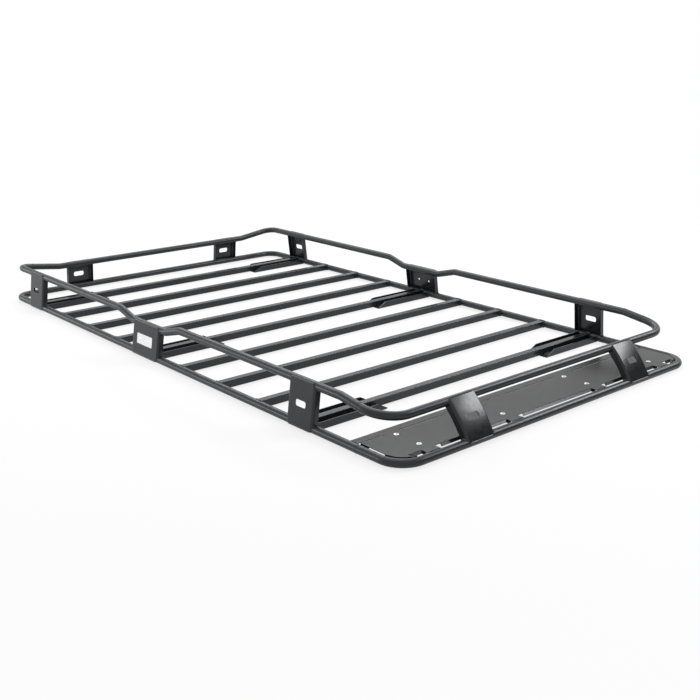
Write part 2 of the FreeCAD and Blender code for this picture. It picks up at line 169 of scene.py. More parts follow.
# Lamps: a wide soft box overhead, a long one behind it whose reflection runs along the tubes, one
# high on the right that lights the brackets, and two low ones on the left for the uprights there.
SOFT_BOXES = (("soft_box_above", (0.0, 0.6, 3.4), (0, 0, 0), (3.0, 3.0), 60.0),
              ("soft_box_long", (1.6, 2.4, 2.6), (0, 0, 0), (4.5, 0.8), 54.0),
              ("soft_box_right", (2.85, -2.15, 2.3), (0.0, -1.1, 0.1), (2.1, 1.0), 76.0),
              ("soft_box_left", (-3.4, 1.9, 0.55), (-0.4, -0.6, 0.1), (1.3, 1.05), 28.0),
              ("soft_box_rear", (-2.3, 3.7, 0.6), (-0.6, 0.9, 0.1), (1.6, 1.1), 15.0))
for name, place, aim, size, watts in SOFT_BOXES:
    lamp = bpy.data.lights.new(name, "AREA")
    lamp.shape = "RECTANGLE"
    lamp.size, lamp.size_y = size
    lamp.energy = watts
    soft_box = bpy.data.objects.new(name, lamp)
    soft_box.location = place
    # A lamp shines down its own -Z: it is tipped up to the level, tilted, and turned to its aim.
    heading = np.array(aim, float) - np.array(place, float)
    turn = math.atan2(heading[1], heading[0])
    tilt = math.atan2(heading[2], math.hypot(heading[0], heading[1]))
    soft_box.rotation_euler = (math.pi / 2 + tilt, 0.0, turn - math.pi / 2)
    soft_box.visible_camera = False
    scene.collection.objects.link(soft_box)

# Deck ring: two straight round steel tubes, and a tube bent round both corners at each end, butt
# welded to them. The joints are ground nearly flush before the rack is blasted and powder coated
# satin black.
FRONT_Y = -1.1695
FRONT_BEND, REAR_BEND = 0.075, 0.055
TUBE_SIDES, BEND_STEP, BEND_POINTS = 40, 0.045, 5
BEAD_PITCH, BEAD_SWELL, BEAD_END = 0.0032, 0.16, 0.35
BEAD_SIDES, BEAD_STEP = 8, BEAD_PITCH / 4
JOINT_BEAD, JOINT_SUNK = 0.0013, 0.0007
CREASE = math.radians(35)
COAT_DARK, COAT_PALE = (0.0112, 0.0117, 0.0130, 1), (0.0162, 0.0168, 0.0186, 1)
COAT_TINT = (0.935, 0.957, 1.0, 1)
CLOUD_SCALE, GRAIN_SCALE, PEEL_SCALE = 9.0, 70.0, 420.0
X_AXIS, Y_AXIS, Z_AXIS = np.eye(3)


def powder_coat(name, dark, pale, gloss, peel_depth, ior=1.42):
    """Satin powder coat: cloudy tone and gloss from slow noise, orange peel from fine noise."""
    coat = bpy.data.materials.new(name)
    tree, output = shader_tree(coat)
    place = shader_node(tree, "ShaderNodeTexCoord").outputs["Object"]
    cloud = shader_node(tree, "ShaderNodeTexNoise", [("Vector", place)],
                        Scale=CLOUD_SCALE, Detail=5.0, Roughness=0.62)
    tone = shader_node(tree, "ShaderNodeValToRGB", [("Fac", cloud.outputs["Fac"])])
    for stop, position, colour in zip(tone.color_ramp.elements, (0.35, 0.68), (dark, pale)):
        stop.position = position
        stop.color = colour
    grain = shader_node(tree, "ShaderNodeTexNoise", [("Vector", place)], Scale=GRAIN_SCALE, Detail=3.0)
    rough = shader_node(tree, "ShaderNodeMapRange", [("Value", grain.outputs["Fac"])],
                        From_Min=0.3, From_Max=0.7, To_Min=gloss[0], To_Max=gloss[1])
    peel = shader_node(tree, "ShaderNodeTexNoise", [("Vector", place)], Scale=PEEL_SCALE, Detail=1.5)
    relief = shader_node(tree, "ShaderNodeBump", [("Height", peel.outputs["Fac"])],
                         Strength=0.5, Distance=peel_depth)
    skin = shader_node(tree, "ShaderNodeBsdfPrincipled", [("Base Color", tone.outputs["Color"]),
                                                          ("Roughness", rough.outputs[0]),
                                                          ("Normal", relief.outputs[0])],
                       IOR=ior, Specular_Tint=COAT_TINT)
    tree.links.new(skin.outputs[0], output.inputs["Surface"])
    return coat


def finish_nodes(names, finish):
    """Give CAD nodes that are kept as they are their finish."""
    for name in names:
        nodes[name].data.materials.clear()
        nodes[name].data.materials.append(finish)


def node_box(name):
    """Lowest and highest corner of a CAD node as arrays."""
    low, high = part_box(name)
    return np.array(low[:], float), np.array(high[:], float)


def loft_mesh(name, lofts):
    """One mesh of several closed lofts, each (rings, looped), with rings an array (ring, point, 3).

    Neighbouring rings are joined by quads. In a looped loft the last ring meets the first one, and
    otherwise the two end rings are filled by polygons.
    """
    points, faces, start = [], [], 0
    for rings, looped in lofts:
        count, sides = rings.shape[:2]
        ring = np.arange(count if looped else count - 1)[:, None]
        side = np.arange(sides)[None, :]
        ahead, around = (ring + 1) % count, (side + 1) % sides
        quads = np.stack([ring * sides + side, ring * sides + around,
                          ahead * sides + around, ahead * sides + side], axis=-1).reshape(-1, 4)
        points.append(rings.reshape(-1, 3))
        faces += (quads + start).tolist()
        start += count * sides
        if not looped:
            faces.append(list(range(start - count * sides, start - count * sides + sides)))
            faces.append(list(range(start - sides, start)))
    mesh = bpy.data.meshes.new(name)
    mesh.from_pydata(np.concatenate(points).tolist(), [], faces)
    return mesh


def face_outward(mesh):
    """Turn the faces of a closed mesh outward."""
    shell = bmesh.new()
    shell.from_mesh(mesh)
    bmesh.ops.recalc_face_normals(shell, faces=shell.faces)
    shell.to_mesh(mesh)
    shell.free()


def add_piece(name, mesh, finish, stands_for=None):
    """Put a closed mesh on the rack, faces outward, smooth up to the sharp edges of its sheet."""
    face_outward(mesh)
    mesh.polygons.foreach_set("use_smooth", [True] * len(mesh.polygons))
    mesh.set_sharp_from_angle(angle=CREASE)
    mesh.materials.clear()
    mesh.materials.append(finish)
    made = bpy.data.objects.new(name, mesh)
    scene.collection.objects.link(made)
    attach(made, "root")
    if stands_for:
        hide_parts(stands_for)


def bent_path(corners):
    """Centre line of a bent tube through corners (x, y, z, bend radius r), arcs at the bends.

    Where the line turns by a, the bend runs from r tan(a / 2) before the corner to as far after it.
    """
    corners = np.array(corners, float)
    places = corners[:, :3]
    points = [places[:1]]
    for before, here, after, bend in zip(places, places[1:], places[2:], corners[1:, 3]):
        come, leave = here - before, after - here
        come, leave = come / np.linalg.norm(come), leave / np.linalg.norm(leave)
        turn = math.acos(float(np.dot(come, leave)))
        inward = leave - come * np.dot(leave, come)
        inward /= np.linalg.norm(inward)
        first = here - come * bend * math.tan(turn / 2)
        angle = np.linspace(0, turn, max(int(turn / BEND_STEP), BEND_POINTS))[:, None]
        points.append(first + bend * (np.sin(angle) * come + (1 - np.cos(angle)) * inward))
    points.append(places[-1:])
    return np.concatenate(points)


def bent_tube(name, node_name, corners):
    """Round tube that stands for a CAD node: circles R (side cos a + up sin a) along a bent path.

    The path is nowhere upright; side is level and square to it, and up is square to both.
    """
    path = bent_path(corners)
    way = np.gradient(path, axis=0)
    way /= np.linalg.norm(way, axis=1, keepdims=True)
    side = np.cross(way, Z_AXIS)
    side /= np.linalg.norm(side, axis=1, keepdims=True)
    up = np.cross(side, way)
    turn = np.arange(TUBE_SIDES)[None, :, None] * 2 * np.pi / TUBE_SIDES
    rings = path[:, None] + TUBE_R * (np.cos(turn) * side[:, None] + np.sin(turn) * up[:, None])
    add_piece(name, loft_mesh(name, [(rings, False)]), tube_coat, node_name)


def arc_about(centre, first, second, radius, begin, finish, step=BEAD_STEP):
    """Evenly spaced points centre + radius (first cos a + second sin a), from one angle to another."""
    angle = np.linspace(begin, finish, int(abs(finish - begin) * radius / step) + 1)[:, None]
    return centre + radius * (np.cos(angle) * first + np.sin(angle) * second)


def weld_bead(path, outward, radius, looped=False):
    """Rings of a weld bead along a path of evenly spaced points.

    A circle of radius r (1 + swell |cos(pi s / pitch)|) is carried along the path: overlapping scales
    of the weld pool. The circle starts toward outward, which is given once or for each point. An open
    bead thins over the last 2 r at both ends.
    """
    path = np.asarray(path, float)
    if looped:
        way = np.roll(path, -1, axis=0) - np.roll(path, 1, axis=0)
    else:
        way = np.gradient(path, axis=0)
    way /= np.linalg.norm(way, axis=1, keepdims=True)
    outward = np.broadcast_to(np.asarray(outward, float), path.shape)
    normal = outward - way * np.sum(outward * way, axis=1, keepdims=True)
    normal /= np.linalg.norm(normal, axis=1, keepdims=True)
    other = np.cross(way, normal)
    steps = np.linalg.norm(np.diff(path, axis=0), axis=1)
    along = np.concatenate([[0.0], np.cumsum(steps)])
    size = radius * (1 + BEAD_SWELL * np.abs(np.cos(np.pi * along / BEAD_PITCH)))
    if not looped:
        reach = np.minimum(along, along[-1] - along) / (2 * radius)
        size = size * (BEAD_END + (1 - BEAD_END) * np.sqrt(np.clip(reach, 0, 1)))
    turn = np.arange(BEAD_SIDES) * 2 * np.pi / BEAD_SIDES
    circle = (np.cos(turn)[None, :, None] * normal[:, None, :]
              + np.sin(turn)[None, :, None] * other[:, None, :])
    return path[:, None, :] + size[:, None, None] * circle, looped


def add_welds(name, beads):
    """One piece of many weld beads, coated like the tubes."""
    add_piece(name, loft_mesh(name, beads), weld_coat)


def joint_ring(centre, way):
    """Bead round a tube at a butt joint: a circle square to way, just inside the tube's surface."""
    centre, way = np.asarray(centre, float), np.asarray(way, float) / np.linalg.norm(way)
    side = np.cross(way, Z_AXIS)
    side /= np.linalg.norm(side)
    ring = arc_about(centre, side, np.cross(way, side), TUBE_R - JOINT_SUNK, 0.0, 2 * math.pi)[:-1]
    return weld_bead(ring, ring - centre, JOINT_BEAD, looped=True)


tube_coat = powder_coat("coat_on_tube", COAT_DARK, COAT_PALE, gloss=(0.31, 0.39), peel_depth=0.000008)
weld_coat = powder_coat("coat_on_weld", COAT_DARK, COAT_PALE, gloss=(0.20, 0.28), peel_depth=0.000006)
finish_nodes(["deck_tube_left", "deck_tube_right"], tube_coat)
side_lo, side_hi = node_box("deck_tube_left")
TUBE_R = (side_hi[0] - side_lo[0]) / 2
TUBE_Z = (side_hi[2] + side_lo[2]) / 2
SIDE_X = -(side_hi[0] + side_lo[0]) / 2
REAR_Y = node_box("deck_tube_rear")[1][1] - TUBE_R
for name, y, joint_y, bend in (("front", FRONT_Y, side_lo[1], FRONT_BEND),
                               ("rear", REAR_Y, side_hi[1], REAR_BEND)):
    bent_tube("bent_deck_tube_" + name, "deck_tube_" + name,
              [(-SIDE_X, joint_y, TUBE_Z, 0), (-SIDE_X, y, TUBE_Z, bend),
               (SIDE_X, y, TUBE_Z, bend), (SIDE_X, joint_y, TUBE_Z, 0)])
add_welds("deck_joint_welds", [joint_ring((sign * SIDE_X, y, TUBE_Z), Y_AXIS)
                               for sign in (-1, 1) for y in (side_lo[1], side_hi[1])])

# Guard rail: six lengths of the same tube, bent and butt welded. The side rails dip over the middle
# uprights and slope down to the front rail, and the rear corners slope down to the rear rail.
RAIL_LOW, RAIL_HIGH = 0.1155, 0.140
RAIL_INSET = 0.077
RAIL_FRONT_BEND, RAIL_REAR_BEND = 0.090, 0.050
RAIL_LEG, CORNER_LEG = 0.100, 0.060
NOSE_RUN, TAIL_RUN = 0.174, 0.180
DIP_HALF, DIP_RAMP, DIP_BEND = 0.105, 0.090, 0.060
rail_lo, rail_hi = node_box("rail_right")
RAIL_X = (rail_lo[0] + rail_hi[0]) / 2
RAIL_FRONT_Y = FRONT_Y + RAIL_INSET
RAIL_REAR_Y = node_box("rail_rear")[1][1] - TUBE_R
middle_lo, middle_hi = node_box("upright_middle_right")
MIDDLE_Y = (middle_lo[1] + middle_hi[1]) / 2
drop = RAIL_HIGH - RAIL_LOW
nose, tail = math.atan(drop / NOSE_RUN), math.atan(drop / TAIL_RUN)
nose_y, nose_z = RAIL_FRONT_Y + RAIL_LEG * math.cos(nose), RAIL_LOW + RAIL_LEG * math.sin(nose)
corner_y = RAIL_REAR_Y - CORNER_LEG
tail_x, tail_z = RAIL_X - CORNER_LEG * math.cos(tail), RAIL_HIGH - CORNER_LEG * math.sin(tail)
rail_joints = []
for side, sign in (("left", -1), ("right", 1)):
    x = sign * RAIL_X
    bent_tube("bent_rail_" + side, "rail_" + side,
              [(x, corner_y, RAIL_HIGH, 0),
               (x, MIDDLE_Y + DIP_HALF + DIP_RAMP, RAIL_HIGH, DIP_BEND),
               (x, MIDDLE_Y + DIP_HALF, RAIL_LOW, DIP_BEND),
               (x, MIDDLE_Y - DIP_HALF, RAIL_LOW, DIP_BEND),
               (x, MIDDLE_Y - DIP_HALF - DIP_RAMP, RAIL_HIGH, DIP_BEND),
               (x, RAIL_FRONT_Y + NOSE_RUN, RAIL_HIGH, DIP_BEND), (x, nose_y, nose_z, 0)])
    bent_tube("bent_rail_corner_" + side, "rail_corner_" + side,
              [(x, corner_y, RAIL_HIGH, 0), (x, RAIL_REAR_Y, RAIL_HIGH, RAIL_REAR_BEND),
               (sign * tail_x, RAIL_REAR_Y, tail_z, 0)])
    rail_joints += [joint_ring((x, nose_y, nose_z), (0, math.cos(nose), math.sin(nose))),
                    joint_ring((x, corner_y, RAIL_HIGH), Y_AXIS),
                    joint_ring((sign * tail_x, RAIL_REAR_Y, tail_z),
                               (sign * math.cos(tail), 0, math.sin(tail)))]
bent_tube("bent_rail_front", "rail_front",
          [(-RAIL_X, nose_y, nose_z, 0), (-RAIL_X, RAIL_FRONT_Y, RAIL_LOW, RAIL_FRONT_BEND),
           (RAIL_X, RAIL_FRONT_Y, RAIL_LOW, RAIL_FRONT_BEND), (RAIL_X, nose_y, nose_z, 0)])
bent_tube("bent_rail_rear", "rail_rear",
          [(-tail_x, RAIL_REAR_Y, tail_z, 0), (TAIL_RUN - RAIL_X, RAIL_REAR_Y, RAIL_LOW, DIP_BEND),
           (RAIL_X - TAIL_RUN, RAIL_REAR_Y, RAIL_LOW, DIP_BEND), (tail_x, RAIL_REAR_Y, tail_z, 0)])
add_welds("rail_joint_welds", rail_joints)

# Crossbars: nine lengths of square steel tube. Their ends are notched to fit the round side tubes
# and welded all the way round.
BAR_BEAD, BAR_CORNER, CORNER_POINTS = 0.0024, 0.0025, 6
bars = [name for name in nodes if name.startswith("crossbar_")]
bar_coat = powder_coat("coat_on_bar", COAT_DARK, COAT_PALE, gloss=(0.24, 0.31), peel_depth=0.000010)
finish_nodes(bars, bar_coat)


def bar_seam(y, half, sign):
    """Closed seam of a square tube on a round one.

    Round the rounded square (u, v) the distance from the side tube's axis is sqrt(R^2 - v^2).
    """
    flat = half - BAR_CORNER
    parts = []
    for quarter in range(4):
        angle = quarter * math.pi / 2
        toward = np.array([math.cos(angle), math.sin(angle)])
        beside = np.array([-math.sin(angle), math.cos(angle)])
        run = np.arange(-flat, flat, BEAD_STEP)[:, None]
        turn = np.linspace(0, math.pi / 2, CORNER_POINTS)[:-1, None]
        parts.append(half * toward + run * beside)
        parts.append(flat * (toward + beside)
                     + BAR_CORNER * (np.cos(turn) * toward + np.sin(turn) * beside))
    across, height = np.concatenate(parts).T
    reach = np.sqrt(np.maximum(TUBE_R ** 2 - height ** 2, 0))
    path = np.stack([sign * (SIDE_X - reach), y + across, TUBE_Z + height], axis=-1)
    outward = np.stack([np.zeros_like(across), across, height], axis=-1)
    return weld_bead(path, outward, BAR_BEAD, looped=True)


seams = []
for name in bars:
    low, high = node_box(name)
    seams += [bar_seam((low[1] + high[1]) / 2, (high[1] - low[1]) / 2, sign) for sign in (-1, 1)]
add_welds("crossbar_welds", seams)

# Uprights: channels bent from steel sheet that stand outside the deck ring and the guard rail. The
# ends of the web and both flanges are fillet welded to the two tubes.
UPRIGHT_LAP, UPRIGHT_DEPTH = 0.006, 0.022
SHEET, SHEET_BEND, SHEET_SEAT = 0.0025, 0.008, 0.0005
EDGE_BEAD, FLANGE_BEAD = 0.0022, 0.0017
# EDGE_TUCK is a share of the sheet, the next three are shares of the bead and the last two are angles.
EDGE_TUCK, EDGE_PROUD = 0.6, 0.5
FLANGE_PROUD, FLANGE_LIFT = 0.2, 0.3
FLANGE_START, FLANGE_STOP = 0.12, 0.05
WEB_FACE = TUBE_R + SHEET - SHEET_SEAT
uprights = [name for name in nodes if "upright" in name]
sheet_coat = powder_coat("coat_on_sheet", COAT_DARK, COAT_PALE, gloss=(0.20, 0.27),
                         peel_depth=0.000012)
finish_nodes(uprights, sheet_coat)


def line_between(start, end):
    """Evenly spaced points start + t (end - start), t from 0 to 1."""
    count = int(np.linalg.norm(end - start) / BEAD_STEP) + 1
    return start + np.linspace(0, 1, count)[:, None] * (end - start)


def sheet_end_beads(centre, across, outward, along, width, depth, lap):
    """Beads where a bent channel ends on a tube.

    In the plane square to the tube, the web's end lies lap past its centre and the flanges are cut
    to its circle. outward leads from the tube's centre to the web, along from the other tube to it.
    """
    flat = width / 2 - SHEET_BEND
    edge = centre + outward * (WEB_FACE - SHEET * EDGE_TUCK) + along * (lap + EDGE_BEAD * EDGE_PROUD)
    beads = [weld_bead(line_between(edge - across * flat, edge + across * flat), outward, EDGE_BEAD)]
    begin = math.acos((WEB_FACE - SHEET) / TUBE_R) + FLANGE_START
    finish = math.acos((WEB_FACE - depth) / TUBE_R) - FLANGE_STOP
    for side in (-1, 1):
        flange = centre + across * side * (width / 2 + FLANGE_BEAD * FLANGE_PROUD)
        path = arc_about(flange, outward, -along, TUBE_R + FLANGE_BEAD * FLANGE_LIFT, begin, finish)
        beads.append(weld_bead(path, across * side, FLANGE_BEAD))
    return beads


upright_beads = []
for name in uprights:
    low, high = node_box(name)
    middle = (low + high) / 2
    if name.startswith("end_"):
        lower, upper = (middle[0], REAR_Y, TUBE_Z), (middle[0], RAIL_REAR_Y, RAIL_LOW)
        across, outside, width = X_AXIS, Y_AXIS, high[0] - low[0]
    else:
        sign = math.copysign(1, middle[0])
        rail_z = RAIL_LOW if "middle" in name else RAIL_HIGH
        lower, upper = (sign * SIDE_X, middle[1], TUBE_Z), (sign * RAIL_X, middle[1], rail_z)
        across, outside, width = Y_AXIS, X_AXIS * sign, high[1] - low[1]
    lower, upper = np.array(lower), np.array(upper)
    rise = (upper - lower) / np.linalg.norm(upper - lower)
    outward = outside - rise * np.dot(outside, rise)
    outward /= np.linalg.norm(outward)
    for centre, along in ((lower, -rise), (upper, rise)):
        upright_beads += sheet_end_beads(centre, across, outward, along, width, UPRIGHT_DEPTH,
                                         UPRIGHT_LAP)
add_welds("upright_welds", upright_beads)

# Front brackets: two channels bent from the same sheet and bowed over the front, from the front tube
# up to the low front rail. Each has a lashing slot in its web and is welded like the uprights.
BRACKET_BOW, BRACKET_WIDTH, BRACKET_DEPTH, BRACKET_LAP = 0.388, 0.109, 0.0245, 0.001
SLOT_SIZE, SLOT_CORNER = (0.046, 0.020), 0.007
BOW_POINTS = 25
CUTTER_HALF, CUTTER_STEP, CUTTER_REACH = 0.1, 0.0012, 0.03


def rounded_corner(centre, radius, begin, points=7):
    """Quarter circle of points centre + radius (cos a, sin a), turning clockwise from begin."""
    angle = begin - np.linspace(0, math.pi / 2, points)
    return np.stack([centre[0] + radius * np.cos(angle), centre[1] + radius * np.sin(angle)], axis=-1)


def channel_outline(width, face, depth):
    """Bent channel section (u across, v outward): web outside at v = face, flanges depth deep."""
    u, v, edge = width / 2 - SHEET_BEND, face - SHEET_BEND, face - depth
    inner = SHEET_BEND - SHEET
    return np.concatenate([[(-width / 2, edge)],
                           rounded_corner((-u, v), SHEET_BEND, math.pi),
                           rounded_corner((u, v), SHEET_BEND, math.pi / 2),
                           [(width / 2, edge), (width / 2 - SHEET, edge)],
                           rounded_corner((u, v), inner, math.pi / 2)[::-1],
                           rounded_corner((-u, v), inner, math.pi)[::-1],
                           [(-width / 2 + SHEET, edge)]])


def cut_out(mesh, cutters):
    """The mesh less some closed cutters, by Blender's exact boolean."""
    body, tool = (bpy.data.objects.new("work", data) for data in (mesh, loft_mesh("cutters", cutters)))
    for blank in (body, tool):
        face_outward(blank.data)
        scene.collection.objects.link(blank)
    step = body.modifiers.new("cut", "BOOLEAN")
    step.object, step.operation, step.solver = tool, "DIFFERENCE", "EXACT"
    result = bpy.data.meshes.new_from_object(body.evaluated_get(bpy.context.evaluated_depsgraph_get()))
    for blank in (body, tool):
        bpy.data.objects.remove(blank)
    return result


bracket_beads = []
for side in ("left", "right"):
    low, high = node_box("front_bracket_" + side)
    x = (low[0] + high[0]) / 2
    lower, upper = np.array([x, FRONT_Y, TUBE_Z]), np.array([x, RAIL_FRONT_Y, RAIL_LOW])
    span = float(np.linalg.norm(upper - lower))
    rise = (upper - lower) / span
    inward = np.cross(rise, X_AXIS)
    hub = (lower + upper) / 2 + inward * math.sqrt(BRACKET_BOW ** 2 - span ** 2 / 4)
    half_turn = math.asin(span / 2 / BRACKET_BOW) + BRACKET_LAP / BRACKET_BOW
    section = channel_outline(BRACKET_WIDTH, WEB_FACE, BRACKET_DEPTH)
    angle = np.linspace(-half_turn, half_turn, BOW_POINTS)[:, None]
    outward = np.sin(angle) * rise - np.cos(angle) * inward
    rings = (hub + X_AXIS * section[None, :, :1]
             + outward[:, None, :] * (BRACKET_BOW + section[None, :, 1:]))
    tubes = [(arc_about(centre, Y_AXIS, Z_AXIS, TUBE_R, 0, 2 * math.pi, step=CUTTER_STEP)[:-1]
              + X_AXIS * np.array([-CUTTER_HALF, CUTTER_HALF])[:, None, None], False)
             for centre in (lower, upper)]
    flat = np.array(SLOT_SIZE) / 2 - SLOT_CORNER
    ring = np.concatenate([rounded_corner(flat * corner, SLOT_CORNER, begin) for corner, begin in
                           (((-1, 1), math.pi), ((1, 1), math.pi / 2), ((1, -1), 0),
                            ((-1, -1), -math.pi / 2))])
    ring = ring[:, :1] * X_AXIS + ring[:, 1:] * rise
    slot = hub + ring - inward * (BRACKET_BOW + np.array([0.0, CUTTER_REACH]))[:, None, None]
    mesh = cut_out(loft_mesh("bracket", [(rings, False)]), tubes + [(slot, False)])
    add_piece("bowed_bracket_" + side, mesh, sheet_coat, "front_bracket_" + side)
    for centre, way in ((lower, -1), (upper, 1)):
        face = (centre - hub) / BRACKET_BOW
        along = np.cross(X_AXIS, face)
        along *= math.copysign(1, along[2]) * way
        bracket_beads += sheet_end_beads(centre, X_AXIS, face, along, BRACKET_WIDTH, BRACKET_DEPTH,
                                         BRACKET_LAP)
add_welds("bracket_welds", bracket_beads)

# Badge plate: a thin aluminium plate with a plain pale face, left blank. Two dome-head blind rivets
# hold it through the holes of the left middle upright.
PLATE_COLOUR, PLATE_SHEET = (0.80, 0.81, 0.82, 1), 0.0015
RIVET_COLOUR, RIVET_SPACING = (0.70, 0.70, 0.69, 1), 0.058
RIVET_RADIUS, RIVET_HEIGHT = 0.0040, 0.0014
RIVET_RINGS, RIVET_SIDES = 8, 24
RIM_SUNK, RIM_RISE = 0.3, 0.15
BRUSH_SCALE, SMEAR_SCALE = (900.0, 14.0, 900.0), 380.0
brushed_plate = bpy.data.materials.new("brushed_plate")
tree, output = shader_tree(brushed_plate)
place = shader_node(tree, "ShaderNodeTexCoord").outputs["Object"]
stretch = shader_node(tree, "ShaderNodeMapping", [("Vector", place)])
stretch.inputs["Scale"].default_value = BRUSH_SCALE
brushing = shader_node(tree, "ShaderNodeTexNoise", [("Vector", stretch.outputs[0])],
                       Scale=1.0, Detail=3.0)
rough = shader_node(tree, "ShaderNodeMapRange", [("Value", brushing.outputs["Fac"])],
                    To_Min=0.40, To_Max=0.50)
lines = shader_node(tree, "ShaderNodeBump", [("Height", brushing.outputs["Fac"])],
                    Strength=0.1, Distance=0.00002)
skin = shader_node(tree, "ShaderNodeBsdfPrincipled", [("Roughness", rough.outputs[0]),
                                                      ("Normal", lines.outputs[0])],
                   Base_Color=PLATE_COLOUR, Metallic=0.08)
tree.links.new(skin.outputs[0], output.inputs["Surface"])
finish_nodes(["badge_plate"], brushed_plate)
rivet_metal = bpy.data.materials.new("rivet_metal")
tree, output = shader_tree(rivet_metal)
place = shader_node(tree, "ShaderNodeTexCoord").outputs["Object"]
smear = shader_node(tree, "ShaderNodeTexNoise", [("Vector", place)], Scale=SMEAR_SCALE, Detail=3.0)
rough = shader_node(tree, "ShaderNodeMapRange", [("Value", smear.outputs["Fac"])],
                    To_Min=0.22, To_Max=0.48)
skin = shader_node(tree, "ShaderNodeBsdfPrincipled", [("Roughness", rough.outputs[0])],
                   Base_Color=RIVET_COLOUR, Metallic=1.0)
tree.links.new(skin.outputs[0], output.inputs["Surface"])


def rivet_dome(centre, way, radius, height):
    """Rivet head: a short straight rim, then rings of radius R cos a that rise with sin a."""
    lift = np.linspace(0, math.pi / 2, RIVET_RINGS)[1:-1]
    radii = radius * np.concatenate([[1.0, 1.0], np.cos(lift)])
    heights = height * np.concatenate([[-RIM_SUNK, RIM_RISE], RIM_RISE + (1 - RIM_RISE) * np.sin(lift)])
    first = np.cross(way, Z_AXIS)
    first /= np.linalg.norm(first)
    second = np.cross(way, first)
    turn = np.linspace(0, 2 * math.pi, RIVET_SIDES + 1)[:-1]
    circle = np.cos(turn)[:, None] * first + np.sin(turn)[:, None] * second
    return centre + heights[:, None, None] * way + radii[:, None, None] * circle, False


plate_lo, plate_hi = node_box("badge_plate")
slope = np.array([SIDE_X - RAIL_X, 0.0, RAIL_LOW - TUBE_Z])
slope /= np.linalg.norm(slope)
plate_out = np.cross(slope, Y_AXIS)
plate_out *= math.copysign(1, -plate_out[0])
rivet_seat = (plate_lo + plate_hi) / 2 + plate_out * PLATE_SHEET / 2
heads = [rivet_dome(rivet_seat + Y_AXIS * way * RIVET_SPACING / 2, plate_out, RIVET_RADIUS, RIVET_HEIGHT)
         for way in (-1, 1)]
add_piece("badge_rivets", loft_mesh("badge_rivets", heads), rivet_metal)

# Mounting channels: six open channels bent from thicker sheet. A crossbar lies on each web and is
# stitch welded to it on both sides, and the flanges are welded to the side tube.
CHANNEL_SHEET = 0.003
STITCH, STITCH_GAP, STITCH_START, STITCHES = 0.040, 0.062, 0.030, 3
STITCH_BEAD, STITCH_TUCK, STITCH_LIFT = 0.0024, 0.0002, 0.0006
SEAM_PROUD, SEAM_LIFT, SEAM_LOW, SEAM_STOP = 0.0003, 0.0004, -1.0, 0.08
channels = [name for name in nodes if name.startswith("channel_")]
finish_nodes(channels, sheet_coat)
bar_lo, bar_hi = node_box("crossbar_1")
bar_half = (bar_hi[1] - bar_lo[1]) / 2
channel_beads = []
for name in channels:
    low, high = node_box(name)
    sign = math.copysign(1, (low[0] + high[0]) / 2)
    y = (low[1] + high[1]) / 2
    for way in (-1, 1):
        seat = np.array([0.0, y + way * (bar_half - STITCH_TUCK), CHANNEL_SHEET + STITCH_LIFT])
        for index in range(STITCHES):
            near = SIDE_X - STITCH_START - index * (STITCH + STITCH_GAP)
            stitch = line_between(seat + X_AXIS * sign * near, seat + X_AXIS * sign * (near - STITCH))
            channel_beads.append(weld_bead(stitch, Y_AXIS * way, STITCH_BEAD))
        flange = np.array([sign * SIDE_X, y + way * ((high[1] - low[1]) / 2 + SEAM_PROUD), TUBE_Z])
        top = math.asin((high[2] - TUBE_Z) / TUBE_R) - SEAM_STOP
        path = arc_about(flange, X_AXIS * -sign, Z_AXIS, TUBE_R + SEAM_LIFT, SEAM_LOW, top)
        channel_beads.append(weld_bead(path, Y_AXIS * way, FLANGE_BEAD))
add_welds("channel_welds", channel_beads)

# Front panel: a steel sheet cut and folded, just below the crest of the tubes. It stands on the
# front tube with four tabs; slits part it from the strip behind, which reaches the side tubes.
PANEL_DARK, PANEL_PALE = (0.0095, 0.0099, 0.0109, 1), (0.0130, 0.0135, 0.0149, 1)
PANEL_RISE, PANEL_SHEET, PANEL_EDGE = 0.011, 0.002, 0.0003
# The panel's own lengths are measured back from the front tube; COLUMNS and ROWS are places.
RIM, CORNER_BEND, ARC_POINTS = 0.015, 0.060, 24
TAB_HALF, TAB_TUCK, NOTCH, NOTCH_BACK = 0.025, 0.001, 0.050, 0.032
SLIT, STRIP_BACK, BRIDGE_HALF = (0.1705, 0.174), 0.203, 0.029
FOLD_DOWN, LEAN, RELIEF, LUG_END, EAR = 0.009, math.radians(41), 0.021, 0.056, 0.032
FOLD_SUNK, FOLD_STOP = 0.75, 0.001
COLUMNS = (-0.540, -0.200, 0.200, 0.540)
ROWS = (-1.1045, -1.0165)
HOLE_R, HOLE_SIDES = 0.0055, 36
SEAM_END, SEAM_OFF = 0.003, 0.0003
panel_coat = powder_coat("coat_on_panel", PANEL_DARK, PANEL_PALE, gloss=(0.18, 0.25),
                         peel_depth=0.000012, ior=1.295)
panel_top = TUBE_Z + PANEL_RISE
meets = math.sqrt(TUBE_R ** 2 - PANEL_RISE ** 2)
rim_x = SIDE_X - RIM
strip_x = SIDE_X - meets + TAB_TUCK
bridge = -COLUMNS[0] + BRIDGE_HALF
first_notch = -COLUMNS[0] + TAB_HALF + NOTCH
quarter = np.linspace(math.pi, 1.5 * math.pi, ARC_POINTS)
corner_arc = np.stack([CORNER_BEND * (1 + np.cos(quarter)) - rim_x,
                       RIM + CORNER_BEND * (1 + np.sin(quarter))], axis=-1)
